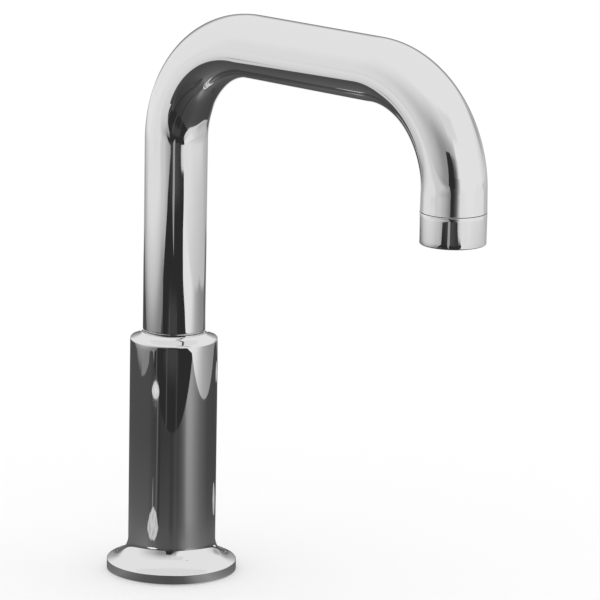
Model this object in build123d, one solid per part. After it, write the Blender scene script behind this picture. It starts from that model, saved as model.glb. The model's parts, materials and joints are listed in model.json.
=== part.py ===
from build123d import *
import math
import os

# Deck-mount bath spout: a bent tube that swivels in a flanged column, fed through a
# threaded shank that is clamped to the bath deck from below.
#
# Millimetres, +Z up. The origin is on the column's axis, in the plane of the deck's top face.
# The spout reaches out along +X. The set screw is at the back, on the -X side.

# ------------------------------------------------------------------ driving dimensions
# tube
TUBE_R = 16.0            # outer radius of the bent tube
TUBE_IN_R = 14.0         # its bore
RUN_Z = 278.8            # centreline height of the level run
REACH = 189.0            # riser axis to outlet axis
BEND_1 = 54.4            # centreline radius, riser to run
BEND_2 = 51.5            # centreline radius, run to outlet leg
TUBE_Z0 = 91.6           # lower end of the tube, inside the column
SEAM_Z = 217.3           # lower end of the outlet leg, where the outlet ring starts
LEG_END_R = 16.2         # the outlet leg widens to this at its lower end
NECK_Z, NECK_ROLL = 127.3, 1.6   # the tube's rolled edge above the column's shoulder
NECK_R, NECK_Z0 = 15.27, 123.6   # the neck under it

# column and flange
COL_R = 22.35            # outer radius of the column
COL_BORE_R = 19.3
FLANGE_R = 33.2
RIM_H = 5.7              # height of the flange's rim
FILLET_R = 10.9          # concave sweep from the flange up into the column
FLANGE_SLOPE = 11.0      # slope of the flange's top, degrees
CORNER_Z = 122.3         # height where the column's wall would meet the shoulder
SHOULDER_SLOPE = 20.5    # degrees
SHOULDER_R = 1.3         # rounding between wall and shoulder
LIP_R0, LIP_ARC, LIP_TURN = 18.4, 5.12, 29.0   # concave rise of the shoulder up to the tube
TOP_BORE_R = 16.1        # the tube passes here
WIPER_BORE_R = 17.6
TOP_WEB_Z = 119.0        # underside of the shoulder, inside
WIPER_TOP_Z = 121.2
GROOVE_R0, GROOVE_R1, GROOVE_D = 26.0, 30.6, 1.5   # gasket groove under the flange

# waterway body, pressed into the column
WATER_R = 19.25
WATER_Z0, WATER_Z1 = 10.0, 107.0
SHANK_SOCKET_R = 13.1
WEB_Z0, WEB_Z1 = 50.0, 55.0
WEB_BORE_R = 12.5
CLIP_ROOM_R, CLIP_ROOM_Z = 14.2, 43.6
TAIL_SOCKET_R = 14.08
THRUST_Z = 86.0          # shoulder that carries the spout
BUSH_BORE_R = 18.0

# swivel tail, brazed into the tube's lower end
TAIL_R = 14.0
TAIL_IN_TUBE_R = 13.95
TAIL_BORE_R = 10.5
TAIL_NECK_R = 12.2
TAIL_Z0, TAIL_SHOULDER_Z, COLLAR_Z0, TAIL_Z1 = 46.0, 56.0, 87.6, 106.0
CLIP_Z0, CLIP_H = 48.6, 1.0
SWIVEL = 60.0            # the spout turns this far each way, degrees
PIN_R, PIN_AT = 1.0, 15.7

# O-rings: section radius, and the groove's floor and width
O_SEC = 1.07
O_GROOVE_W = 2.8

# deck shank, G 3/4
THREAD_R = 13.22
THREAD_PITCH = 1.814
THREAD_DEPTH = 1.0
SHANK_BORE_R = 9.5
SPIGOT_R = 12.9
SHANK_Z0, SHANK_Z1 = -75.0, 42.0
SUPPLY_L = 14.0          # supply end of the thread
SHANK_COLLAR_R = 18.9
DECK_T = 25.0            # deck thickness that the nut is drawn at

# outlet
RING_R = 16.25           # at its top
RING_LOW_R = 16.12       # at its lower edge
RING_Z0 = 201.6
RING_BORE_R = 14.08
RING_LIP_R = 12.4
RING_LIP_Z = 203.2
OUT_THREAD_R = 14.0
FERRULE_Z0, FERRULE_Z1 = 209.3, 227.0
FERRULE_BORE_R = 11.8


# ------------------------------------------------------------------ helpers
def tube(r_out, r_in, z0, z1, x=0.0):
    """A plain ring about a vertical axis."""
    a = Pos(x, 0, z0) * Cylinder(r_out, z1 - z0, align=(Align.CENTER, Align.CENTER, Align.MIN))
    if r_in:
        a -= Pos(x, 0, z0 - 1) * Cylinder(
            r_in, z1 - z0 + 2, align=(Align.CENTER, Align.CENTER, Align.MIN)
        )
    return a


def turned(points, x=0.0, angle=360.0, start=0.0):
    """A turned solid: the closed outline (r, z), spun about the vertical axis."""
    edges = []
    pts = points + [points[0]]
    i = 0
    while i < len(pts) - 1:
        a, b = pts[i], pts[i + 1]
        if len(b) == 3:  # (r, z, 'via'): the middle point of an arc from a to the next point
            c = pts[i + 2]
            edges.append(
                ThreePointArc((a[0], 0, a[1]), (b[0], 0, b[1]), (c[0], 0, c[1]))
            )
            i += 2
        else:
            edges.append(Line((a[0], 0, a[1]), (b[0], 0, b[1])))
            i += 1
    face = make_face(edges)
    solid = revolve(face, axis=Axis.Z, revolution_arc=angle)
    if start:
        solid = Rot(0, 0, start) * solid
    return Pos(x, 0, 0) * solid if x else solid


def on_arc(cx, cz, r, deg):
    a = math.radians(deg)
    return (cx + r * math.cos(a), cz + r * math.sin(a))


def via(p):
    return (p[0], p[1], "via")


def o_ring(floor_r, z_mid, x=0.0):
    return Pos(x, 0, z_mid) * Torus(floor_r + O_SEC + 0.01, O_SEC)


def save(name, shape):
    os.makedirs("parts", exist_ok=True)
    shape.label = name
    export_step(shape, f"parts/{name}.step")


# ------------------------------------------------------------------ the bent tube
def centreline(z0):
    s = math.sqrt(0.5)
    b1 = (0, 0, RUN_Z - BEND_1)
    m1 = (BEND_1 * (1 - s), 0, RUN_Z - BEND_1 * (1 - s))
    e1 = (BEND_1, 0, RUN_Z)
    b2 = (REACH - BEND_2, 0, RUN_Z)
    m2 = (REACH - BEND_2 * (1 - s), 0, RUN_Z - BEND_2 * (1 - s))
    e2 = (REACH, 0, RUN_Z - BEND_2)
    return Wire(
        [
            Line((0, 0, z0), b1),
            ThreePointArc(b1, m1, e1),
            Line(e1, b2),
            ThreePointArc(b2, m2, e2),
        ]
    )


path = centreline(TUBE_Z0)
start = Plane((0, 0, TUBE_Z0), x_dir=(1, 0, 0), z_dir=(0, 0, 1))
section = start * (Circle(TUBE_R) - Circle(TUBE_IN_R))
spout_tube = sweep(section, path=path)
# the short straight leg above the outlet ring, slightly flared
leg_z = RUN_Z - BEND_2
spout_tube += turned(
    [(TUBE_IN_R, SEAM_Z), (LEG_END_R, SEAM_Z), (TUBE_R, leg_z), (TUBE_IN_R, leg_z)], x=REACH
)
# the rolled edge and the neck where the tube enters the column
roll_r = TUBE_R - NECK_ROLL
roll_end = on_arc(roll_r, NECK_Z, NECK_ROLL, -57)
spout_tube -= turned(
    [
        (TUBE_R + 1.0, NECK_Z),
        (TUBE_R, NECK_Z),
        via(on_arc(roll_r, NECK_Z, NECK_ROLL, -28.5)),
        roll_end,
        (NECK_R, NECK_Z0 + 1.2),
        (TUBE_R, NECK_Z0),
        (TUBE_R + 1.0, NECK_Z0),
    ]
)
save("spout_tube", spout_tube)

# ------------------------------------------------------------------ column body with its flange
s = math.radians(FLANGE_SLOPE)
fc_r = COL_R + FILLET_R
f_end_r = fc_r - FILLET_R * math.sin(s)
f_end_z = RIM_H + (FLANGE_R - f_end_r) * math.tan(s)
fc_z = f_end_z + FILLET_R * math.cos(s)
t = math.radians(SHOULDER_SLOPE)
sr_tan = SHOULDER_R * math.tan((math.pi / 2 - t) / 2)
sc_r, sc_z = COL_R - SHOULDER_R, CORNER_Z - sr_tan
sh_end = on_arc(sc_r, sc_z, SHOULDER_R, 90 - SHOULDER_SLOPE)
lip_z0 = sh_end[1] + (sh_end[0] - LIP_R0) * math.tan(t)
lip_c = (LIP_R0 + LIP_ARC * math.sin(t), lip_z0 + LIP_ARC * math.cos(t))
lip_end = on_arc(*lip_c, LIP_ARC, 270 - SHOULDER_SLOPE - LIP_TURN)
rim = 0.5
column = turned(
    [
        (COL_BORE_R, 0),
        (GROOVE_R0, 0),
        (GROOVE_R0, GROOVE_D),
        (GROOVE_R1, GROOVE_D),
        (GROOVE_R1, 0),
        (FLANGE_R - 0.3, 0),
        (FLANGE_R, 0.3),
        (FLANGE_R, RIM_H - rim),
        via(on_arc(FLANGE_R - rim, RIM_H - rim, rim, 42)),
        (FLANGE_R - rim * 0.86, RIM_H + 0.02),
        (f_end_r, f_end_z),
        via(on_arc(fc_r, fc_z, FILLET_R, (270 - FLANGE_SLOPE + 180) / 2)),
        (COL_R, fc_z),
        (COL_R, sc_z),
        via(on_arc(sc_r, sc_z, SHOULDER_R, (90 - SHOULDER_SLOPE) / 2)),
        sh_end,
        (LIP_R0, lip_z0),
        via(on_arc(*lip_c, LIP_ARC, 270 - SHOULDER_SLOPE - LIP_TURN / 2)),
        lip_end,
        (TOP_BORE_R, lip_end[1] - 0.2),
        (TOP_BORE_R, WIPER_TOP_Z),
        (WIPER_BORE_R, WIPER_TOP_Z),
        (WIPER_BORE_R, TOP_WEB_Z),
        (COL_BORE_R, TOP_WEB_Z),
    ]
)
SET_Z, SET_R = 26.0, 2.5
set_hole = Pos(0, 0, SET_Z) * Rot(0, -90, 0) * Pos(0, 0, 8) * Cylinder(
    SET_R + 0.05, 20, align=(Align.CENTER, Align.CENTER, Align.MIN)
)
column -= set_hole
save("column_body", column)

# ------------------------------------------------------------------ waterway body
water = turned(
    [
        (SHANK_SOCKET_R + 0.8, WATER_Z0),
        (WATER_R - 0.8, WATER_Z0),
        (WATER_R, WATER_Z0 + 0.8),
        (WATER_R, WATER_Z1),
        (BUSH_BORE_R, WATER_Z1),
        (BUSH_BORE_R, THRUST_Z),
        (TAIL_SOCKET_R + 0.4, THRUST_Z),
        (TAIL_SOCKET_R, THRUST_Z - 0.4),
        (TAIL_SOCKET_R, WEB_Z1),
        (WEB_BORE_R, WEB_Z1),
        (WEB_BORE_R, WEB_Z0),
        (CLIP_ROOM_R, WEB_Z0),
        (CLIP_ROOM_R, CLIP_ROOM_Z),
        (SHANK_SOCKET_R, CLIP_ROOM_Z),
        (SHANK_SOCKET_R, WATER_Z0 + 0.8),
    ]
)
water -= set_hole
pin_hole = Pos(-PIN_AT, 0, 82.0) * Cylinder(
    PIN_R, 10, align=(Align.CENTER, Align.CENTER, Align.MIN)
)
water -= pin_hole
save("waterway_body", water)

# the pin that stops the swivel at each end, upright in the waterway's shoulder
stop_pin = tube(PIN_R - 0.01, 0, 82.0, 89.4, x=-PIN_AT)
stop_pin = chamfer(stop_pin.edges().group_by(Axis.Z)[-1], 0.3)
save("swivel_stop_pin", stop_pin)

# low-friction washer that the spout turns on, with a hole for the pin
thrust = tube(17.8, 14.9, THRUST_Z, THRUST_Z + 1.5)
thrust -= Pos(-PIN_AT, 0, THRUST_Z - 1) * Cylinder(
    PIN_R + 0.12, 4, align=(Align.CENTER, Align.CENTER, Align.MIN)
)
save("thrust_washer", thrust)

# guide bushes: the lower one sits in the waterway, the upper one under the column's shoulder
lower_bush = turned(
    [(16.08, 93.5), (17.95, 93.5), (17.95, 106.9), (16.08, 106.9)]
)
save("lower_guide_bush", lower_bush)
upper_bush = turned(
    [
        (16.08, 107.1),
        (19.2, 107.1),
        (19.2, 118.9),
        (16.08, 118.9),
    ]
)
save("upper_guide_bush", upper_bush)

# wiper that keeps splashes out of the swivel, in the shoulder's counterbore
wiper = turned(
    [
        (16.45, 119.1),
        (17.5, 119.1),
        (17.5, 121.1),
        (16.45, 121.1),
        (16.07, 120.4),
        (16.07, 119.9),
    ]
)
save("column_wiper_seal", wiper)

# ------------------------------------------------------------------ swivel tail
G1, G2 = 60.0, 66.0      # lower edges of its two O-ring grooves
floor_t = TAIL_R + 0.03 - 2 * O_SEC
tail = turned(
    [
        (TAIL_BORE_R, TAIL_Z0),
        (TAIL_NECK_R - 0.5, TAIL_Z0),
        (TAIL_NECK_R, TAIL_Z0 + 0.5),
        (TAIL_NECK_R, CLIP_Z0 - 0.05),
        (11.3, CLIP_Z0 - 0.05),
        (11.3, CLIP_Z0 + CLIP_H + 0.05),
        (TAIL_NECK_R, CLIP_Z0 + CLIP_H + 0.05),
        (TAIL_NECK_R, TAIL_SHOULDER_Z),
        (TAIL_R - 0.6, TAIL_SHOULDER_Z),
        (TAIL_R, TAIL_SHOULDER_Z + 0.6),
        (TAIL_R, G1),
        (floor_t, G1),
        (floor_t, G1 + O_GROOVE_W),
        (TAIL_R, G1 + O_GROOVE_W),
        (TAIL_R, G2),
        (floor_t, G2),
        (floor_t, G2 + O_GROOVE_W),
        (TAIL_R, G2 + O_GROOVE_W),
        (TAIL_R, COLLAR_Z0),
        (TUBE_R, COLLAR_Z0),
        (TUBE_R, TUBE_Z0),
        (TAIL_IN_TUBE_R, TUBE_Z0),
        (TAIL_IN_TUBE_R, TAIL_Z1 - 0.8),
        (TAIL_IN_TUBE_R - 0.8, TAIL_Z1),
        (TAIL_BORE_R + 1.2, TAIL_Z1),
        (TAIL_BORE_R, TAIL_Z1 - 3.0),
    ]
)
# the arc cut in the collar's underside: its two ends meet the stop pin at the swivel's limits
half = SWIVEL + math.degrees(math.asin((PIN_R + 0.15) / PIN_AT))
arc_cut = turned(
    [(14.3, COLLAR_Z0 - 0.5), (17.0, COLLAR_Z0 - 0.5), (17.0, 90.0), (14.3, 90.0)],
    angle=2 * half,
    start=180 - half,
)
tail -= arc_cut
save("swivel_tail", tail)
save("swivel_o_ring_lower", o_ring(floor_t, G1 + O_GROOVE_W / 2))
save("swivel_o_ring_upper", o_ring(floor_t, G2 + O_GROOVE_W / 2))

# snap ring under the waterway's web, open at one side
clip = tube(13.3, 11.35, CLIP_Z0, CLIP_Z0 + CLIP_H)
clip -= Pos(12, 0, CLIP_Z0 - 1) * Box(8, 5.0, 4, align=(Align.CENTER, Align.CENTER, Align.MIN))
save("retaining_clip", clip)

# ------------------------------------------------------------------ deck shank with its seals
SG1, SG2 = 30.0, 36.0
floor_s = SPIGOT_R - 2 * O_SEC + 0.1
n_thread = int((-SHANK_Z0 - SUPPLY_L - 3.0) / THREAD_PITCH)
z_top = -3.0
profile = [
    (SHANK_BORE_R, SHANK_Z0),
    (THREAD_R - 1.0, SHANK_Z0),
    (THREAD_R, SHANK_Z0 + 1.0),
    (THREAD_R, z_top - n_thread * THREAD_PITCH),
]
for i in range(n_thread, 0, -1):
    zb = z_top - i * THREAD_PITCH
    profile += [
        (THREAD_R, zb + 0.3),
        (THREAD_R - THREAD_DEPTH, zb + THREAD_PITCH / 2 - 0.1),
        (THREAD_R - THREAD_DEPTH, zb + THREAD_PITCH / 2 + 0.1),
        (THREAD_R, zb + THREAD_PITCH - 0.3),
    ]
profile += [
    (THREAD_R, 2.0),
    (SHANK_COLLAR_R, 2.0),
    (SHANK_COLLAR_R, 7.2),
    (SHANK_COLLAR_R - 0.8, 8.0),
    (SPIGOT_R, 8.0),
    (SPIGOT_R, SET_Z - 2.6),
    (SPIGOT_R - 0.9, SET_Z - 1.7),
    (SPIGOT_R - 0.9, SET_Z + 1.7),
    (SPIGOT_R, SET_Z + 2.6),
    (SPIGOT_R, SG1),
    (floor_s, SG1),
    (floor_s, SG1 + O_GROOVE_W),
    (SPIGOT_R, SG1 + O_GROOVE_W),
    (SPIGOT_R, SG2),
    (floor_s, SG2),
    (floor_s, SG2 + O_GROOVE_W),
    (SPIGOT_R, SG2 + O_GROOVE_W),
    (SPIGOT_R, SHANK_Z1 - 1.0),
    (SPIGOT_R - 1.0, SHANK_Z1),
    (SHANK_BORE_R, SHANK_Z1),
]
# drop repeated points
clean = []
for q in profile:
    if not clean or abs(q[0] - clean[-1][0]) + abs(q[1] - clean[-1][1]) > 1e-6:
        clean.append(q)
shank = turned(clean)
# two flats on the collar for a spanner
for side in (-1, 1):
    shank -= Pos(0, side * (16.0 + 5), 2.0) * Box(
        50, 10, 10, align=(Align.CENTER, Align.CENTER, Align.MIN)
    )
save("deck_shank", shank)
save("shank_o_ring_lower", o_ring(floor_s, SG1 + O_GROOVE_W / 2))
save("shank_o_ring_upper", o_ring(floor_s, SG2 + O_GROOVE_W / 2))

# flat gasket under the shank's collar, and the one in the flange's groove
save("shank_gasket", tube(18.8, 13.5, 0, 2.0))
save("flange_gasket", tube(GROOVE_R1 - 0.1, GROOVE_R0 + 0.1, 0, GROOVE_D - 0.05))

# grub screw with a hexagon socket that locks the column to the shank's groove
screw = Cylinder(SET_R, 9.3, align=(Align.CENTER, Align.CENTER, Align.MIN))
screw = chamfer(screw.edges().filter_by(GeomType.CIRCLE).sort_by(Axis.Z)[0], 0.75)
screw = chamfer(screw.edges().filter_by(GeomType.CIRCLE).sort_by(Axis.Z)[-1], 0.3)
hexagon = extrude(Pos(0, 0, 9.3) * RegularPolygon(2.5 / math.sqrt(3), 6), amount=-2.8)
screw -= hexagon
screw = Pos(0, 0, SET_Z) * Rot(0, -90, 0) * Pos(0, 0, 12.4) * screw
save("set_screw", screw)

# ------------------------------------------------------------------ clamping hardware under the deck
save("deck_rubber_washer", tube(24.0, 13.6, -DECK_T - 3.0, -DECK_T))
save("deck_steel_washer", tube(24.5, 13.7, -DECK_T - 5.0, -DECK_T - 3.0))

NUT_T, NUT_AF = 9.0, 36.0
nut_z1 = -DECK_T - 5.1
nut = extrude(
    Pos(0, 0, nut_z1 - NUT_T) * RegularPolygon(NUT_AF / math.sqrt(3), 6), amount=NUT_T
)
corner = NUT_AF / math.sqrt(3)
cone = turned(
    [
        (0, nut_z1 - NUT_T),
        (NUT_AF / 2 - 0.3, nut_z1 - NUT_T),
        (corner + 0.6, nut_z1 - NUT_T + 1.6),
        (corner + 0.6, nut_z1 - 1.6),
        (NUT_AF / 2 - 0.3, nut_z1),
        (0, nut_z1),
    ]
)
nut = nut & cone
nut -= Pos(0, 0, nut_z1 - NUT_T - 1) * Cylinder(
    THREAD_R + 0.09, NUT_T + 2, align=(Align.CENTER, Align.CENTER, Align.MIN)
)
nut = chamfer(
    nut.edges().filter_by(GeomType.CIRCLE).filter_by(lambda e: abs(e.radius - THREAD_R - 0.09) < 1e-3),
    0.7,
)
save("lock_nut", nut)

# ------------------------------------------------------------------ outlet
ferrule = turned(
    [
        (FERRULE_BORE_R, FERRULE_Z0),
        (OUT_THREAD_R - 0.6, FERRULE_Z0),
        (OUT_THREAD_R, FERRULE_Z0 + 0.6),
        (OUT_THREAD_R, SEAM_Z - 1.2),
        (OUT_THREAD_R - 0.6, SEAM_Z - 1.0),
        (OUT_THREAD_R - 0.6, SEAM_Z),
        (TUBE_IN_R - 0.05, SEAM_Z),
        (TUBE_IN_R - 0.05, FERRULE_Z1),
        (FERRULE_BORE_R + 1.0, FERRULE_Z1),
        (FERRULE_BORE_R, FERRULE_Z1 - 2.0),
    ],
    x=REACH,
)
save("outlet_ferrule", ferrule)

er = 0.8
ring = turned(
    [
        (RING_LIP_R + 0.4, RING_Z0),
        (RING_LOW_R - er, RING_Z0),
        via(on_arc(RING_LOW_R - er, RING_Z0 + er, er, -45)),
        (RING_LOW_R, RING_Z0 + er),
        (RING_R, SEAM_Z - 0.5),
        (RING_R - 0.3, SEAM_Z - 0.2),
        (RING_BORE_R + 0.7, SEAM_Z - 0.2),
        (RING_BORE_R, SEAM_Z - 0.9),
        (RING_BORE_R, RING_LIP_Z),
        (RING_LIP_R, RING_LIP_Z),
        (RING_LIP_R, RING_Z0 + 0.4),
    ],
    x=REACH,
)
save("outlet_ring", ring)

save("outlet_washer", tube(13.75, 12.1, 208.3, 209.2, x=REACH))

# honeycomb flow straightener
cells = []
pitch = 2.75
for a in range(-6, 7):
    for b in range(-6, 7):
        cx, cy = pitch * (a + b / 2), pitch * b * math.sqrt(3) / 2
        if math.hypot(cx, cy) <= 11.1:
            cells.append(Pos(cx, cy) * Rot(0, 0, 30) * RegularPolygon(1.36, 6))
face = Circle(13.75) - cells
honey = Pos(REACH, 0, 203.3) * extrude(face, amount=4.9)
save("flow_straightener", honey)

# perforated debris screen on top of it
holes = []
pitch = 2.0
for a in range(-6, 7):
    for b in range(-6, 7):
        cx, cy = pitch * (a + b / 2), pitch * b * math.sqrt(3) / 2
        if math.hypot(cx, cy) <= 10.2:
            holes.append(Pos(cx, cy) * Circle(0.72))
face = Circle(11.55) - holes
screen = Pos(REACH, 0, 208.25) * extrude(face, amount=0.5)
save("debris_screen", screen)

if __name__ == "__main__":
    n = len(os.listdir("parts"))
    print("nodes written:", n)
    print("overall height above the deck:", RUN_Z + TUBE_R, "reach:", REACH, "outlet height:", RING_Z0)
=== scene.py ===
import json
import math

import bmesh
import bpy
from mathutils import Matrix, Vector


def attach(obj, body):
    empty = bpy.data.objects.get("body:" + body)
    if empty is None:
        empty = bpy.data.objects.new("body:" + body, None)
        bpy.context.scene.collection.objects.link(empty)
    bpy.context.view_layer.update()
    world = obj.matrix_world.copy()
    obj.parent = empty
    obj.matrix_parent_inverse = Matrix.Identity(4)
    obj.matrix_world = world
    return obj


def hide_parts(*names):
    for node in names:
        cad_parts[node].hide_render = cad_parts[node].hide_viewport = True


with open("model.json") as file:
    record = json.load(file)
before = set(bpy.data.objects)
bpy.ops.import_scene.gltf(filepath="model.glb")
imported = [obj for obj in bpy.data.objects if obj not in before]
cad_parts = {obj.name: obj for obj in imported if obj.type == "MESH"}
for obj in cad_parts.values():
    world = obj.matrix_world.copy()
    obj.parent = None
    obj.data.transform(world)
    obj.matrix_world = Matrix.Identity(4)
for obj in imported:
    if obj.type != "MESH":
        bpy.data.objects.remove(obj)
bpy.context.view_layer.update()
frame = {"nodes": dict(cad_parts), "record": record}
nodes = frame["nodes"]
scene = bpy.context.scene
MM = 0.001

# ------------------------------------------------------------------ sizes, millimetres
TUBE_R, TUBE_IN_R = 16.0, 14.0
RUN_Z, REACH = 278.8, 189.0
BEND_1, BEND_2 = 54.4, 51.5
TUBE_Z0, SEAM_Z = 91.6, 217.3
COL_R, COL_BORE_R = 22.35, 19.3
FLANGE_R, RIM_H, FILLET_R, FLANGE_SLOPE = 33.2, 5.7, 10.9, 11.0
CORNER_Z, SHOULDER_SLOPE, SHOULDER_R = 122.3, 20.5, 1.3
TOP_BORE_R, WIPER_BORE_R, TOP_WEB_Z, WIPER_TOP_Z = 16.1, 17.6, 119.0, 121.2
GROOVE_R0, GROOVE_R1, GROOVE_D = 26.0, 30.6, 1.5
LEG_END_R, NECK_Z, NECK_ROLL, NECK_R, NECK_Z0 = 16.2, 127.3, 1.6, 15.27, 123.6
LIP_R0, LIP_ARC, LIP_TURN = 18.4, 5.12, 29.0
RING_R, RING_LOW_R, RING_Z0, RING_BORE_R, RING_LIP_R, RING_LIP_Z = 16.25, 16.12, 201.6, 14.08, 12.4, 203.2
SET_Z, SET_R = 26.0, 2.55


# ------------------------------------------------------------------ mesh helpers
def new_mesh_object(name, bm, smooth=True):
    me = bpy.data.meshes.new(name)
    bmesh.ops.recalc_face_normals(bm, faces=bm.faces[:])
    bm.to_mesh(me)
    bm.free()
    for p in me.polygons:
        p.use_smooth = smooth
    ob = bpy.data.objects.new(name, me)
    scene.collection.objects.link(ob)
    return ob


def arc(cx, cz, r, a0, a1, n):
    """Points of an arc in the (r, z) plane, angles in degrees."""
    return [
        (cx + r * math.cos(math.radians(a0 + (a1 - a0) * i / n)),
         cz + r * math.sin(math.radians(a0 + (a1 - a0) * i / n)))
        for i in range(n + 1)
    ]


def divided(a, b, n):
    """Points from a to b, without a, in n steps."""
    return [(a[0] + (b[0] - a[0]) * i / n, a[1] + (b[1] - a[1]) * i / n) for i in range(1, n + 1)]


def lathe(name, outline, segments=192, x=0.0, crease=28.0):
    """A closed turned solid: the outline [(r, z)] in millimetres, spun about a vertical axis."""
    clean = []
    for p in outline:
        if not clean or math.hypot(p[0] - clean[-1][0], p[1] - clean[-1][1]) > 1e-5:
            clean.append(p)
    if math.hypot(clean[0][0] - clean[-1][0], clean[0][1] - clean[-1][1]) < 1e-5:
        clean.pop()
    bm = bmesh.new()
    rings = []
    for i in range(segments):
        a = 2 * math.pi * i / segments
        c, s = math.cos(a), math.sin(a)
        rings.append([bm.verts.new(((x + r * c) * MM, r * s * MM, z * MM)) for r, z in clean])
    n = len(clean)
    for i in range(segments):
        a, b = rings[i], rings[(i + 1) % segments]
        for j in range(n):
            k = (j + 1) % n
            bm.faces.new((a[j], b[j], b[k], a[k]))
    ob = new_mesh_object(name, bm)
    sharpen(ob, crease)
    return ob


def sharpen(ob, degrees):
    """Keeps edges steeper than this sharp under smooth shading."""
    bm = bmesh.new()
    bm.from_mesh(ob.data)
    limit = math.radians(degrees)
    for e in bm.edges:
        if len(e.link_faces) == 2:
            e.smooth = e.calc_face_angle(0.0) < limit
    bm.to_mesh(ob.data)
    bm.free()


# ------------------------------------------------------------------ bent tube
def tube_path():
    """Stations along the centreline, in millimetres: (point, tangent in the XZ plane, outer radius)."""
    rise = RUN_Z - BEND_1
    riser = [(TUBE_Z0 + (NECK_Z0 - TUBE_Z0) * i / 8, TUBE_R) for i in range(9)]
    riser.append((NECK_Z0 + 1.2, NECK_R))
    for i in range(11):
        a = math.radians(57 * (1 - i / 10))
        riser.append((NECK_Z - NECK_ROLL * math.sin(a), TUBE_R - NECK_ROLL + NECK_ROLL * math.cos(a)))
    riser += [(NECK_Z + 0.4, TUBE_R), (NECK_Z + 1.2, TUBE_R)]
    riser += [(NECK_Z + 1.2 + (rise - NECK_Z - 1.2) * i / 24, TUBE_R) for i in range(1, 25)]
    out = [((0.0, z), (0.0, 1.0), r) for z, r in riser]
    for i in range(1, 73):
        a = math.radians(90 * i / 72)
        out.append(((BEND_1 - BEND_1 * math.cos(a), rise + BEND_1 * math.sin(a)), (math.sin(a), math.cos(a)), TUBE_R))
    x1 = REACH - BEND_2
    for i in range(1, 25):
        out.append(((BEND_1 + (x1 - BEND_1) * i / 24, RUN_Z), (1.0, 0.0), TUBE_R))
    for i in range(1, 73):
        a = math.radians(90 * i / 72)
        out.append(((x1 + BEND_2 * math.sin(a), RUN_Z - BEND_2 + BEND_2 * math.cos(a)),
                    (math.cos(a), -math.sin(a)), TUBE_R))
    z2 = RUN_Z - BEND_2
    for i in range(1, 9):
        out.append(((REACH, z2 + (SEAM_Z - z2) * i / 8), (0.0, -1.0), TUBE_R + (LEG_END_R - TUBE_R) * i / 8))
    return out


def bent_tube(name, segments=160):
    bm = bmesh.new()
    stations = tube_path()
    chamfer = 0.25

    def ring(st, r, shift=0.0):
        (px, pz), (tx, tz) = st[:2]
        nx, nz = -tz, tx
        out = []
        for i in range(segments):
            a = 2 * math.pi * i / segments
            u, v = r * math.cos(a), r * math.sin(a)
            out.append(bm.verts.new(((px + nx * u + tx * shift) * MM, v * MM, (pz + nz * u + tz * shift) * MM)))
        return out

    first, last = stations[0], stations[-1]
    rings = [ring(first, TUBE_R - chamfer)]
    rings.append(ring(first, TUBE_R, chamfer))
    rings += [ring(s, s[2]) for s in stations[1:-1]]
    rings.append(ring(last, LEG_END_R, -chamfer))
    rings.append(ring(last, LEG_END_R - chamfer))
    rings.append(ring(last, TUBE_IN_R))
    rings += [ring(s, TUBE_IN_R) for s in reversed(stations[1:-1])]
    rings.append(ring(first, TUBE_IN_R))
    n = len(rings)
    for j in range(n):
        a, b = rings[j], rings[(j + 1) % n]
        for i in range(segments):
            k = (i + 1) % segments
            bm.faces.new((a[i], a[k], b[k], b[i]))
    ob = new_mesh_object(name, bm)
    sharpen(ob, 27.0)
    return ob


tube = bent_tube("spout_tube_polished")
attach(tube, "spout")
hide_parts("spout_tube")


# ------------------------------------------------------------------ column with flange
def column_outline():
    s = math.radians(FLANGE_SLOPE)
    fc_r = COL_R + FILLET_R
    f_end = (fc_r - FILLET_R * math.sin(s), RIM_H + (FLANGE_R - fc_r + FILLET_R * math.sin(s)) * math.tan(s))
    fc_z = f_end[1] + FILLET_R * math.cos(s)
    t = math.radians(SHOULDER_SLOPE)
    sc_z = CORNER_Z - SHOULDER_R * math.tan((math.pi / 2 - t) / 2)
    sc_r = COL_R - SHOULDER_R
    sh = (sc_r + SHOULDER_R * math.sin(t), sc_z + SHOULDER_R * math.cos(t))
    lip = (LIP_R0, sh[1] + (sh[0] - LIP_R0) * math.tan(t))
    e = 0.5
    pts = [(COL_BORE_R, 0), (GROOVE_R0, 0), (GROOVE_R0, GROOVE_D), (GROOVE_R1, GROOVE_D), (GROOVE_R1, 0)]
    pts += arc(FLANGE_R - 0.3, 0.3, 0.3, -90, 0, 4)
    pts += divided((FLANGE_R, 0.3), (FLANGE_R, RIM_H - e), 5)
    pts += arc(FLANGE_R - e, RIM_H - e, e, 0, 90 - FLANGE_SLOPE, 10)
    pts += divided(pts[-1], f_end, 6)
    pts += arc(fc_r, fc_z, FILLET_R, 270 - FLANGE_SLOPE, 180, 40)
    pts += divided((COL_R, fc_z), (COL_R, sc_z), 40)
    pts += arc(sc_r, sc_z, SHOULDER_R, 0, 90 - SHOULDER_SLOPE, 12)
    pts += divided(sh, lip, 6)
    pts += arc(LIP_R0 + LIP_ARC * math.sin(t), lip[1] + LIP_ARC * math.cos(t), LIP_ARC,
               270 - SHOULDER_SLOPE, 270 - SHOULDER_SLOPE - LIP_TURN, 12)
    pts += [(TOP_BORE_R, pts[-1][1] - 0.2), (TOP_BORE_R, WIPER_TOP_Z), (WIPER_BORE_R, WIPER_TOP_Z),
            (WIPER_BORE_R, TOP_WEB_Z), (COL_BORE_R, TOP_WEB_Z)]
    return pts


column = lathe("column_body_polished", column_outline(), segments=256, crease=32.0)

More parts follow.
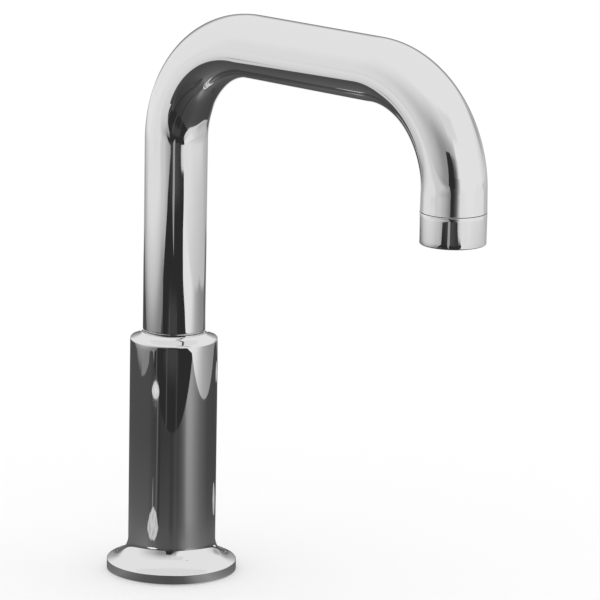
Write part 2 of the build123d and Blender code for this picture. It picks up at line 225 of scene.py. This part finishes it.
# the set screw's hole, through the wall at the back
cutter_bm = bmesh.new()
bmesh.ops.create_cone(cutter_bm, cap_ends=True, segments=64, radius1=SET_R * MM, radius2=SET_R * MM, depth=12 * MM)
cutter = new_mesh_object("hole_cutter", cutter_bm)
cutter.matrix_world = Matrix.Translation((-21.0 * MM, 0, SET_Z * MM)) @ Matrix.Rotation(math.radians(90), 4, "Y")
bpy.context.view_layer.update()
cut = column.modifiers.new("hole", "BOOLEAN")
cut.operation = "DIFFERENCE"
cut.solver = "EXACT"
cut.object = cutter
bpy.context.view_layer.objects.active = column
for o in bpy.context.selected_objects:
    o.select_set(False)
column.select_set(True)
bpy.ops.object.modifier_apply(modifier="hole")
bpy.data.objects.remove(cutter)
for p in column.data.polygons:
    p.use_smooth = True
sharpen(column, 32.0)
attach(column, "column")
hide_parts("column_body")


# ------------------------------------------------------------------ outlet ring
def ring_outline():
    e = 0.8
    pts = [(RING_LIP_R, RING_Z0 + 0.4), (RING_LIP_R + 0.4, RING_Z0)]
    pts += divided(pts[-1], (RING_LOW_R - e, RING_Z0), 2)
    pts += arc(RING_LOW_R - e, RING_Z0 + e, e, -90, 0, 12)
    pts += divided((RING_LOW_R, RING_Z0 + e), (RING_R, SEAM_Z - 0.5), 8)
    pts += arc(RING_R - 0.3, SEAM_Z - 0.5, 0.3, 0, 90, 5)
    pts += [(RING_BORE_R + 0.7, SEAM_Z - 0.2), (RING_BORE_R, SEAM_Z - 0.9), (RING_BORE_R, RING_LIP_Z),
            (RING_LIP_R, RING_LIP_Z)]
    return pts


ring = lathe("outlet_ring_polished", ring_outline(), segments=192, x=REACH, crease=32.0)
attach(ring, "outlet_collar")
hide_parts("outlet_ring")


# ------------------------------------------------------------------ camera
def place_camera():
    az, el, roll = (math.radians(v) for v in (43.957, 12.873, 1.044))
    dist, tx, tz = 2.34059, 0.06372, 0.14260
    back = Vector((math.sin(az) * math.cos(el), -math.cos(az) * math.cos(el), math.sin(el)))
    target = Vector((tx * math.cos(az), tx * math.sin(az), tz))
    where = target + back * dist
    right = (-back).cross(Vector((0, 0, 1))).normalized()
    up = right.cross(-back)
    r2 = right * math.cos(roll) + up * math.sin(roll)
    u2 = -right * math.sin(roll) + up * math.cos(roll)
    m = Matrix((r2, u2, back)).transposed().to_4x4()
    m.translation = where
    data = bpy.data.cameras.new("camera")
    data.sensor_fit = "HORIZONTAL"
    data.sensor_width = 36.0
    data.lens = 276.517
    data.clip_start, data.clip_end = 0.05, 60.0
    cam = bpy.data.objects.new("camera", data)
    scene.collection.objects.link(cam)
    cam.matrix_world = m
    scene.camera = cam
    return cam


camera = place_camera()

# ------------------------------------------------------------------ procedural materials
def material(name):
    mat = bpy.data.materials.new(name)
    mat.use_nodes = True
    nt = mat.node_tree
    bsdf = next(n for n in nt.nodes if n.type == "BSDF_PRINCIPLED")
    return mat, nt, bsdf


def noise(nt, scale, detail=3.0, rough=0.55, stretch=None):
    tc = nt.nodes.new("ShaderNodeTexCoord")
    mp = nt.nodes.new("ShaderNodeMapping")
    if stretch:
        mp.inputs["Scale"].default_value = stretch
    nz = nt.nodes.new("ShaderNodeTexNoise")
    nz.inputs["Scale"].default_value = scale
    nz.inputs["Detail"].default_value = detail
    nz.inputs["Roughness"].default_value = rough
    nt.links.new(tc.outputs["Object"], mp.inputs["Vector"])
    nt.links.new(mp.outputs["Vector"], nz.inputs["Vector"])
    return nz.outputs["Fac"]


def spread(nt, fac, low, high, a=0.3, b=0.7):
    mr = nt.nodes.new("ShaderNodeMapRange")
    mr.inputs["From Min"].default_value = a
    mr.inputs["From Max"].default_value = b
    mr.inputs["To Min"].default_value = low
    mr.inputs["To Max"].default_value = high
    nt.links.new(fac, mr.inputs["Value"])
    return mr.outputs["Result"]


def tinted(nt, fac, dark, light):
    ramp = nt.nodes.new("ShaderNodeValToRGB")
    ramp.color_ramp.elements[0].position = 0.3
    ramp.color_ramp.elements[0].color = (*dark, 1)
    ramp.color_ramp.elements[1].position = 0.7
    ramp.color_ramp.elements[1].color = (*light, 1)
    nt.links.new(fac, ramp.inputs["Fac"])
    return ramp.outputs["Color"]


def bump(nt, bsdf, fac, distance, strength=1.0):
    b = nt.nodes.new("ShaderNodeBump")
    b.inputs["Distance"].default_value = distance
    b.inputs["Strength"].default_value = strength
    nt.links.new(fac, b.inputs["Height"])
    nt.links.new(b.outputs["Normal"], bsdf.inputs["Normal"])


CHROME_LEVEL = 0.9


def make_chrome():
    mat, nt, bsdf = material("polished_chrome")
    bsdf.inputs["Base Color"].default_value = (CHROME_LEVEL, CHROME_LEVEL, CHROME_LEVEL * 1.004, 1)
    bsdf.inputs["Metallic"].default_value = 1.0
    nt.links.new(spread(nt, noise(nt, 38.0, 4.0), 0.012, 0.05), bsdf.inputs["Roughness"])
    bump(nt, bsdf, noise(nt, 55.0, 1.0, 0.4), 0.00002, 0.16)
    return mat


def make_brass():
    mat, nt, bsdf = material("machined_brass")
    bsdf.inputs["Metallic"].default_value = 1.0
    nt.links.new(tinted(nt, noise(nt, 60.0, 4.0), (0.56, 0.38, 0.15), (0.78, 0.58, 0.28)), bsdf.inputs["Base Color"])
    nt.links.new(spread(nt, noise(nt, 140.0, 3.0), 0.2, 0.4), bsdf.inputs["Roughness"])
    bump(nt, bsdf, noise(nt, 40.0, 2.0, 0.5, (1.0, 1.0, 90.0)), 0.00006, 0.35)
    return mat


def make_rubber():
    mat, nt, bsdf = material("black_rubber")
    nt.links.new(tinted(nt, noise(nt, 220.0, 4.0), (0.012, 0.012, 0.013), (0.035, 0.035, 0.036)), bsdf.inputs["Base Color"])
    nt.links.new(spread(nt, noise(nt, 400.0, 3.0), 0.6, 0.85), bsdf.inputs["Roughness"])
    bump(nt, bsdf, noise(nt, 900.0, 3.0), 0.00005, 0.5)
    return mat


def make_acetal():
    mat, nt, bsdf = material("white_acetal")
    nt.links.new(tinted(nt, noise(nt, 90.0, 3.0), (0.74, 0.74, 0.71), (0.86, 0.86, 0.83)), bsdf.inputs["Base Color"])
    nt.links.new(spread(nt, noise(nt, 300.0, 2.0), 0.32, 0.5), bsdf.inputs["Roughness"])
    bump(nt, bsdf, noise(nt, 700.0, 2.0), 0.00003, 0.3)
    return mat


def make_stainless():
    mat, nt, bsdf = material("stainless_steel")
    bsdf.inputs["Metallic"].default_value = 1.0
    nt.links.new(tinted(nt, noise(nt, 80.0, 4.0), (0.46, 0.46, 0.45), (0.62, 0.62, 0.61)), bsdf.inputs["Base Color"])
    nt.links.new(spread(nt, noise(nt, 60.0, 3.0, 0.5, (1.0, 14.0, 1.0)), 0.22, 0.42), bsdf.inputs["Roughness"])
    bump(nt, bsdf, noise(nt, 60.0, 3.0, 0.5, (1.0, 14.0, 1.0)), 0.00004, 0.3)
    return mat


looks = {
    "polished_chrome": make_chrome(),
    "brass": make_brass(),
    "black_rubber": make_rubber(),
    "white_acetal": make_acetal(),
    "stainless_steel": make_stainless(),
}
for row in frame["record"]["subparts"]:
    ob = nodes[row["node"]]
    ob.data.materials.clear()
    ob.data.materials.append(looks[row["material_slot"]])
    for p in ob.data.polygons:
        p.material_index = 0
for ob in (tube, column, ring):
    ob.data.materials.append(looks["polished_chrome"])

# ------------------------------------------------------------------ studio: what the chrome mirrors
# A grey table stands under the spout, with a dark gap and a dark figure on the camera's side,
# a pale sweep beyond the table and a soft pale dome above. They are lit cards that only show
# in reflections. u runs to the camera's right and v towards the camera.
import numpy as np

CAM_AZ = math.radians(43.957)
AXIS_U = np.array((math.cos(CAM_AZ), math.sin(CAM_AZ)))
AXIS_V = np.array((math.sin(CAM_AZ), -math.cos(CAM_AZ)))


def lin(grey):
    g = np.asarray(grey, float) / 255.0
    return np.where(g <= 0.04045, g / 12.92, ((g + 0.055) / 1.055) ** 2.4)


def sm(a, b, x):
    t = np.clip((x - a) / (b - a), 0, 1)
    return t * t * (3 - 2 * t)


def mix(a, b, t):
    return a * (1 - t) + b * t


def polar(u, v):
    return np.degrees(np.arctan2(u, v)), np.hypot(u, v)


def bell(x, centre, width):
    return np.exp(-(((x - centre) / width) ** 2))


def window(x, a, b, soft):
    return sm(a - soft, a + soft, x) * (1 - sm(b - soft, b + soft, x))


def horizon_grey(az):
    return np.interp(az, [-95, -75, -60, -45, -30, -18, 0, 14, 14.01], [223, 208, 190, 172, 143, 137, 150, 180, 224])


def back_right_grey(az):
    return np.interp(az, [100, 108, 114, 121, 128, 137, 147], [224, 219, 213, 207, 202, 190, 184])


def sweep_grey(u, v):
    """The sweep's greys, as steep rays and as low rays see it."""
    edge_of_view = np.interp(v, [-0.2, 0.1, 0.3, 0.5, 0.9], [221, 217, 210, 203, 196])
    low = np.interp(u, [-0.85, -0.75, -0.65, -0.55, -0.48], [213, 201, 184, 145, 126])
    steep = np.interp(u, [-0.7, -0.6, -0.5, -0.4], [218, 215, 208, 198])
    low, steep = (mix(g, mix(218, edge_of_view, sm(-1.05, -1.2, u)), sm(-0.8, -0.95, u)) for g in (low, steep))
    near = np.interp(v, [-0.35, -0.25, -0.15, -0.05, 0.05, 0.15, 0.25, 0.35], [134, 137, 143, 153, 165, 189, 215, 223])
    far = np.interp(v, [-0.5, -0.2, 0.1, 0.3, 0.5], [183, 186, 194, 202, 211])
    far = mix(far, 222, np.interp(u, [0.7, 1.0, 1.1, 1.25], [0, 0.3, 0.55, 0.92]))
    edge = np.interp(v, [-0.6, -0.45, -0.3, -0.15, 0.1, 0.6], [0.40, 0.50, 0.60, 0.68, 0.67, 0.60])
    out = sm(-0.012, 0.012, u - edge)
    low = np.where(u < 0, low, mix(near, far, out))
    mid = mix(np.interp(u, [0.38, 0.5, 0.6, 0.7], [170, 188, 197, 199]), 208, sm(-0.05, 0.2, v))
    steep = np.where(u < 0, steep, mix(np.maximum(mid, near), far, out))
    front = np.interp(u, [-1.6, -0.9, -0.7, -0.6, -0.5, -0.4, 0.4, 0.7, 1.2], [205, 198, 196, 186, 170, 150, 224, 216, 224])
    beyond = np.interp(u, [-1.6, -0.92, -0.8, -0.69, -0.53, -0.35, -0.15, 0.1, 0.5, 0.7, 1.2],
                       [205, 200, 190, 179, 168, 146, 118, 118, 215, 218, 224])
    front = mix(front, beyond, sm(0.8, 1.0, v))
    az, r = polar(u, v)
    front = mix(front, horizon_grey(az), sm(1.5, 2.4, r) * (az < 0))
    back = np.interp(u, [-1.2, -0.8, -0.55, -0.4, -0.2, 0.0, 0.25, 0.4, 0.6, 1.2],
                     [225, 196, 161, 152, 205, 240, 226, 152, 172, 192])
    shade = np.interp(v, [-0.7, -0.55, -0.42], [92, 78, 58])
    both = []
    for g in (steep, low):
        g = mix(g, front, sm(0.5, 0.7, v))
        g = mix(g, back, 1 - sm(-0.58, -0.44, v))
        g = mix(g, shade, window(u, -0.46, -0.14, 0.03) * window(v, -0.73, 0, 0.03))
        g = mix(g, back_right_grey(az), sm(1.6, 2.6, r) * (u > 0) * (v < 0))
        both.append(mix(g, 98, window(u, 0.24, 0.46, 0.03) * window(v, -0.77, -0.42, 0.03)))
    return both


def gap_grey(u, v):
    """The gap's greys, as steep rays and as low rays see it."""
    az, r = polar(u, v)
    s = np.full(np.shape(u), 43.0)
    s = mix(s, 62, window(v, 0.45, 0.65, 0.05) * window(u, -0.2, 0.1, 0.05))
    s = mix(s, 80, bell(az, -16, 1.4) * (r < 0.62))
    s = mix(s, 66, bell(az, 9.5, 1.6) * (r < 0.62))
    s = mix(s, np.interp(r, [0.55, 0.6, 0.68], [77, 108, 148]), np.exp(-(((az + 43.5) / 2.1) ** 4)) * (r < 0.72))
    s = mix(s, 70, sm(0.9, 1.02, r) * bell(az, 0, 18) * (r < 1.24))
    side = np.interp(polar(u - 0.136, v - 0.131)[0], [-4, 1, 7.5, 14.3, 21], [46, 64, 98, 163, 214])
    s = mix(s, mix(np.interp(u, [0.1, 0.2, 0.3, 0.4, 0.5], [46, 60, 92, 170, 214]), side, sm(1.25, 1.5, v)), sm(1.12, 1.26, v))
    right = sm(-0.01, 0.01, u - np.interp(v, [0.3, 0.38, 0.5, 0.6, 0.7], [0.27, 0.26, 0.275, 0.31, 0.39])) * (v < 0.7)
    left = sm(-0.01, 0.01, np.interp(v, [0.3, 0.4, 0.5, 0.6, 0.8, 0.88, 0.95],
                                     [-0.44, -0.40, -0.36, -0.31, -0.32, -0.38, -0.46]) - u)
    return mix(mix(s, 210, right), 184, left), s


def table_grey(u, v):
    """The table's grey, the sheen that low rays see on it, and the pale border that steep rays see."""
    az, r = polar(u, v)
    s = np.interp(az, [-180, -140, -62, -52, -30, 0, 20, 60, 140, 180], [80, 76, 74, 66, 58, 62, 66, 72, 66, 80])
    s = s + 24 * bell(r, 0, 0.13) + np.interp(r, [0.1, 0.22, 0.3], [7, 3, -2]) * (az < 0)
    outer = sm(0.07, 0.13, r)
    # painted sheen line: a thin light line on the table that only low rays see, added to the sheen
    sheen_line = 0.85 * bell(az, -38.5, 1.5) * outer
    s = mix(s, 46, 0.75 * bell(az, -32.5, 2.2) * outer)
    s = mix(s, 50, 0.55 * bell(az, -1.5, 4.0) * outer)
    s = s + 6 * bell(az, 9, 2.0) * outer
    g = np.interp(az, [16, 24, 31, 37, 43, 50, 60, 73, 86, 101], [0, 0.12, 0.36, 0.86, 0.96, 0.86, 0.54, 0.26, 0.12, 0])
    foot = np.interp(az, [-150, -100, -58, -43, -28, 0, 14, 28, 43, 58, 75, 93, 116, 150],
                     [100, 100, 116, 98, 85, 76, 83, 124, 138, 122, 107, 99, 92, 96])
    left = sm(-0.01, 0.01, np.interp(v, [-0.3, -0.2, -0.05, 0, 0.1, 0.2], [-0.40, -0.37, -0.32, -0.345, -0.40, -0.44]) - u)
    right = sm(-0.012, 0.012, u - np.interp(v, [-0.3, -0.18, -0.09, 0, 0.09, 0.14, 0.19, 0.25, 0.31],
                                            [0.385, 0.368, 0.364, 0.36, 0.346, 0.33, 0.31, 0.275, 0.262]))
    border = np.where(u < 0, left, right)
    g = g * sm(0.06, 0.14, r) * np.interp(r, [0.14, 0.42], [0.8, 1.0])
    return (mix(s, foot, 1 - sm(0.055, 0.13, r)), g * 2 * lin(170) + sheen_line * (lin(108) - lin(s)) / LOW,
            border, np.where(u < 0, 200, 207))


def dome_grey(az, el):
    s = mix(224, horizon_grey(az), np.interp(el, [14, 20, 27, 34, 42, 52], [1, 0.84, 0.54, 0.33, 0.18, 0]))
    s = mix(s, 211, window(az, 0, 33, 5) * window(el, 28, 48, 4))
    s = mix(s, back_right_grey(az), (1 - sm(6, 22, el)) * (az > 90))
    side = np.interp(az, [0, 1.5, 5, 9, 12, 16, 20], [66, 72, 88, 110, 150, 204, 223])
    s = mix(s, side + 24 * sm(5, 12, el) * (1 - sm(9, 16, az)), window(az, -4, 20, 2) * (1 - sm(12, 17, el)))
    s = mix(s, 158, window(az, 131, 150, 7) * (1 - sm(9, 19, el)) * sm(-2, 5, el))
    s = mix(s, 155, sm(148, 166, np.abs(az)) * (1 - sm(11, 24, el)))
    return mix(s, 103, sm(155, 166, np.abs(az)) * (1 - sm(3, 11, el)))


# f^4 of a ray that meets the ground at 13.5 degrees, and f^16 of one at 15.5 degrees
LOW, LOWER = 0.345, 0.0069


def card_material(name, extra, one_sided=False):
    """Light = glow + sheen * f^4 + spark * f^8 + pale * (1 - f^16 / LOWER), where f falls from 1 for
    grazing rays to 0 for upright ones, and f^4 is held at 0.4."""
    mat = bpy.data.materials.new(name)
    mat.use_nodes = True
    nt = mat.node_tree
    nt.nodes.clear()

    def attribute(key):
        node = nt.nodes.new("ShaderNodeAttribute")
        node.attribute_name = key
        return node.outputs["Fac"]

    def calc(operation, *values, clamp=False):
        node = nt.nodes.new("ShaderNodeMath")
        node.operation = operation
        node.use_clamp = clamp
        for i, value in enumerate(values):
            if isinstance(value, float):
                node.inputs[i].default_value = value
            else:
                nt.links.new(value, node.inputs[i])
        return node.outputs[0]

    level = attribute("glow")
    if extra:
        facing = nt.nodes.new("ShaderNodeLayerWeight")
        facing.inputs["Blend"].default_value = 0.5
        f4 = calc("MINIMUM", calc("POWER", facing.outputs["Facing"], 4.0), 0.4)
        level = calc("MULTIPLY_ADD", f4, attribute("sheen"), level)
        level = calc("MULTIPLY_ADD", calc("MULTIPLY", f4, f4), attribute("spark"), level)
        steep = calc("SUBTRACT", 1.0, calc("MULTIPLY", calc("POWER", f4, 4.0), 1.0 / LOWER), clamp=True)
        level = calc("MULTIPLY_ADD", steep, attribute("pale"), level)
    out = nt.nodes.new("ShaderNodeOutputMaterial")
    em = nt.nodes.new("ShaderNodeEmission")
    nt.links.new(level, em.inputs["Strength"])
    if one_sided:
        side, clear = nt.nodes.new("ShaderNodeNewGeometry"), nt.nodes.new("ShaderNodeBsdfTransparent")
        both = nt.nodes.new("ShaderNodeMixShader")
        nt.links.new(side.outputs["Backfacing"], both.inputs[0])
        nt.links.new(em.outputs[0], both.inputs[1])
        nt.links.new(clear.outputs[0], both.inputs[2])
        nt.links.new(both.outputs[0], out.inputs["Surface"])
    else:
        nt.links.new(em.outputs[0], out.inputs["Surface"])
    mat.cycles.emission_sampling = "NONE"
    return mat


def card(name, points, faces, glow, one_sided=False, **extra):
    """A card that only reflections see; points are (u, v, z) in metres, glow is linear light."""
    p = np.asarray(points, float)
    xy = p[:, :1] * AXIS_U + p[:, 1:2] * AXIS_V
    me = bpy.data.meshes.new(name)
    me.from_pydata(np.column_stack((xy, p[:, 2])).tolist(), [], faces)
    if extra:
        extra = {"sheen": 0, "spark": 0, "pale": 0, **extra}
    for key, values in (("glow", glow), *extra.items()):
        data = np.broadcast_to(np.asarray(values, float) / CHROME_LEVEL, (len(p),))
        me.attributes.new(key, "FLOAT", "POINT").data.foreach_set("value", data.astype(np.float32))
    ob = bpy.data.objects.new(name, me)
    scene.collection.objects.link(ob)
    me.materials.append(card_material(name, bool(extra), one_sided))
    for ray in ("camera", "diffuse", "transmission", "volume_scatter", "shadow"):
        setattr(ob, "visible_" + ray, False)
    return ob


def grid_faces(rows, cols, wrap=False):
    out = []
    for i in range(rows - 1):
        for j in range(cols if wrap else cols - 1):
            k = (j + 1) % cols
            out.append((i * cols + j, i * cols + k, (i + 1) * cols + k, (i + 1) * cols + j))
    return out


# painted lamp highlights on the table: azimuth, distance, half length, half width in degrees, grey, raggedness
PAINTED_HIGHLIGHTS = [(-45.0, 0.413, 0.0215, 10.4, 232, 0.15), (-45.5, 0.118, 0.031, 14.0, 234, 0.6),
         (152.0, 0.43, 0.026, 6.0, 222, 0.2), (137.0, 0.145, 0.033, 8.0, 222, 0.3)]


# one painted highlight on the table: a bright ragged oval that only grazing rays see
def painted_highlight_card(i, a0, r0, dr, da, grey, ragged):
    n, m = 96, 12
    th = np.linspace(0, 2 * np.pi, n, endpoint=False)[None, :]
    t = np.linspace(0.02, 1, m)[:, None]
    wave = 1 + ragged * (0.05 * np.sin(3 * th + i) + 0.05 * np.sin(7 * th + 2 * i) + 0.03 * np.sin(12 * th))
    far = np.maximum(np.cos(th), 0)
    r = r0 + dr * t * np.cos(th) * wave * (1 + 0.12 * far)
    a = np.radians(a0 + da * t * np.sin(th) * wave * (1 - 0.25 * far))
    streaks = 0.5 + 0.5 * np.sin(9 * t * np.sin(th) + 1.5 * np.sin(5 * t * np.cos(th)) + i)
    tone = grey - 34 * streaks * sm(0, 0.5, t) * (1 - 0.6 * sm(0.6, 0.9, t)) - 45 * sm(0.86, 1.0, t)
    points = np.column_stack(((r * np.sin(a)).ravel(), (r * np.cos(a)).ravel(), np.full(n * m, 0.001)))
    base = np.full(n * m, float(lin(66)))
    faces = grid_faces(m, n, True) + [tuple(range(n))]
    card("card_painted_highlight_%d" % i, points, faces, base, spark=(lin(tone).ravel() - base) / LOW ** 2)


def strip_card(name, line, grey):
    """A thin painted highlight strip on the table: (azimuth, distance, half width in degrees) along it."""
    pts = [(r * math.sin(math.radians(a + s * w)), r * math.cos(math.radians(a + s * w)), 0.001)
           for a, r, w in line for s in (-1, 1)]
    base = np.full(len(pts), float(lin(62)))
    card(name, pts, grid_faces(len(line), 2), base, spark=(float(lin(grey)) - base) / LOW ** 2)


def make_cards():
    # the pale sweep beyond the table
    n = 321
    uu, vv = (a.ravel() for a in np.meshgrid(np.linspace(-3.2, 3.2, n), np.linspace(-3.2, 3.2, n)))
    steep, low = (lin(g) for g in sweep_grey(uu, vv))
    card("card_sweep", np.column_stack((uu, vv, np.full(uu.size, 0.0002))), grid_faces(n, n),
         low, pale=np.maximum(steep - low, 0))
    # the dark gap in front of the table, and the pale slit in it
    lv, lu = zip(*((0.27, -0.34), (0.34, -0.40), (0.42, -0.425), (0.53, -0.475), (0.68, -0.475), (0.82, -0.45),
                   (0.87, -0.455), (0.95, -0.425), (1.04, -0.388), (1.13, -0.34), (1.2, -0.25), (1.25, -0.08), (2.35, -0.50)))
    rv, ru = zip(*((0.27, 0.385), (0.42, 0.385), (0.48, 0.392), (0.60, 0.372), (0.69, 0.398), (0.75, 0.423),
                   (0.80, 0.475), (0.86, 0.514), (0.92, 0.53), (0.955, 0.49), (0.985, 0.41), (1.03, 0.355), (1.09, 0.35),
                   (1.2, 0.40), (1.3, 0.53), (1.5, 0.66), (2.35, 0.99)))
    vs = np.concatenate((np.arange(0.27, 1.30, 0.008), np.linspace(1.30, 2.35, 20)))
    t = np.linspace(0, 1, 261)
    ul, ur = np.interp(vs, lv, lu), np.interp(vs, rv, ru)
    uu = (ul[:, None] * (1 - t) + ur[:, None] * t).ravel()
    vv = np.repeat(vs, t.size)
    steep, low = (lin(g) for g in gap_grey(uu, vv))
    card("card_gap", np.column_stack((uu, vv, np.full(uu.size, 0.0006))), grid_faces(vs.size, t.size),
         low, pale=steep - low)
    slit = ((0.78, -0.047, -0.043), (0.83, -0.092, -0.046), (0.89, -0.13, -0.051), (0.95, -0.165, -0.048),
            (1.0, -0.166, -0.043), (1.06, -0.18, -0.052), (1.12, -0.195, -0.058), (1.24, -0.20, -0.09))
    card("card_slit", [(u, v, 0.0007) for v, a, b in slit for u in (a, b)], grid_faces(len(slit), 2),
         [float(lin(150))] * (2 * len(slit)))
    # the table, on rays from the object's foot to its edge
    outline = ((-0.49, -0.44), (-0.485, -0.25), (-0.462, -0.148), (-0.454, -0.10), (-0.447, -0.065), (-0.440, -0.03),
               (-0.440, 0.05), (-0.437, 0.09), (-0.437, 0.195), (-0.455, 0.225), (-0.466, 0.27), (-0.44, 0.299),
               (-0.37, 0.306), (-0.30, 0.318), (0.385, 0.318), (0.385, -0.44))
    az = np.arange(-180, 180, 0.5)
    az = np.unique(np.concatenate((az, [math.degrees(math.atan2(*q)) for q in outline])))
    sa, ca = np.sin(np.radians(az)), np.cos(np.radians(az))
    reach = np.full(az.size, 9.0)
    for (ax, ay), (bx, by) in zip(outline, outline[1:] + outline[:1]):
        ex, ey = bx - ax, by - ay
        det = sa * ey - ca * ex
        det = np.where(np.abs(det) < 1e-9, 1e-9, det)
        k, h = (ax * ey - ay * ex) / det, (ax * ca - ay * sa) / det
        reach = np.where((k > 0) & (h > -1e-6) & (h < 1 + 1e-6), np.minimum(reach, k), reach)
    steps = np.linspace(0, 1, 150)
    rr = 0.02 * (reach[None, :] / 0.02) ** steps[:, None]
    uu, vv = (rr * sa).ravel(), (rr * ca).ravel()
    grey, sheen, border, pale = table_grey(uu, vv)
    card("card_table", np.column_stack((uu, vv, np.full(uu.size, 0.0008))), grid_faces(steps.size, az.size, True),
         lin(grey), sheen=sheen, pale=border * (lin(pale) - lin(grey)))
    for i, spot in enumerate(PAINTED_HIGHLIGHTS):
        painted_highlight_card(i, *spot)
    # painted highlights: thin light strips that trail the bright oval highlights
    strip_card("card_highlight_tail", [(-48.0, 0.152, 1.3), (-48.0, 0.18, 1.0), (-48.2, 0.215, 0.3)], 150)
    strip_card("card_highlight_hook", [(-44.5, 0.381, 3.6), (-44.3, 0.378, 3.2), (-44.0, 0.375, 1.4)], 118)
    # the dark figure beyond the gap
    out = [(-0.60, 0.0), (-0.52, 0.35), (-0.50, 0.78), (-0.05, 0.84), (0.14, 0.62), (0.17, 0.55), (0.17, 0.0)]
    card("card_figure", [(u, 2.3, z) for u, z in out], [tuple(range(len(out)))], [float(lin(43))] * len(out))
    side = ((0.17, 46), (0.25, 66), (0.34, 82), (0.44, 100), (0.58, 130), (0.73, 170), (0.88, 204), (1.03, 222))
    card("card_figure_side", [(u, 2.3, z) for u, _ in side for z in (0.0, 0.26)], grid_faces(len(side), 2),
         lin([g for _, g in side for _ in (0, 1)]))
    # painted light: a pale glowing ring around the column, seen from below only; it keeps the run's dark underside out
    # of the flange's reflection
    turn = [2 * math.pi * i / 96 for i in range(96)]
    rings = [(r * math.sin(a), r * math.cos(a), 0.110) for r in (0.0227, 0.11) for a in turn]
    card("card_painted_pale_ring", rings, grid_faces(2, 96, True), [float(lin(224))] * len(rings), one_sided=True)
    # the dome
    azs, els = np.arange(-180, 180, 1.0), np.concatenate((np.arange(-10, 60, 1.0), np.arange(60, 90.1, 2.5)))
    aa, ee = np.meshgrid(azs, els)
    ca, sa, ce, se = (f(np.radians(x)).ravel() for f, x in ((np.cos, aa), (np.sin, aa), (np.cos, ee), (np.sin, ee)))
    pts = 14.0 * np.column_stack((sa * ce, ca * ce, se))
    card("card_dome", pts, grid_faces(els.size, azs.size, True), lin(dome_grey(aa.ravel(), ee.ravel())))


make_cards()


# ------------------------------------------------------------------ floor, backdrop and lights
def plain(name, color, rough=0.9):
    mat, nt, bsdf = material(name)
    bsdf.inputs["Base Color"].default_value = (*color, 1)
    bsdf.inputs["Roughness"].default_value = rough
    bsdf.inputs["Specular IOR Level"].default_value = 0.0
    return mat


floor_bm = bmesh.new()
bmesh.ops.create_circle(floor_bm, cap_ends=True, segments=128, radius=12.4)
floor = new_mesh_object("studio_floor", floor_bm, smooth=False)
floor.data.materials.append(plain("pale_floor", (0.95, 0.95, 0.95)))
floor.visible_glossy = False

sky_bm = bmesh.new()
bmesh.ops.create_uvsphere(sky_bm, u_segments=64, v_segments=32, radius=12.0)
sky = new_mesh_object("studio_backdrop", sky_bm)
sky_mat = bpy.data.materials.new("pale_backdrop")
sky_mat.use_nodes = True
snt = sky_mat.node_tree
snt.nodes.clear()
s_out, s_em = snt.nodes.new("ShaderNodeOutputMaterial"), snt.nodes.new("ShaderNodeEmission")
s_em.inputs["Color"].default_value = (1, 1, 1, 1)
s_em.inputs["Strength"].default_value = 1.0
snt.links.new(s_em.outputs[0], s_out.inputs["Surface"])
sky_mat.cycles.emission_sampling = "NONE"
sky.data.materials.append(sky_mat)
for ray in ("diffuse", "glossy", "transmission", "volume_scatter", "shadow"):
    setattr(sky, "visible_" + ray, False)

world = bpy.data.worlds.new("studio")
scene.world = world
world.use_nodes = True
bg = next(n for n in world.node_tree.nodes if n.type == "BACKGROUND")
bg.inputs["Color"].default_value = (1, 1, 1, 1)
bg.inputs["Strength"].default_value = 1.06

scene.view_settings.view_transform = "Standard"
scene.view_settings.look = "None"

bpy.context.view_layer.update()
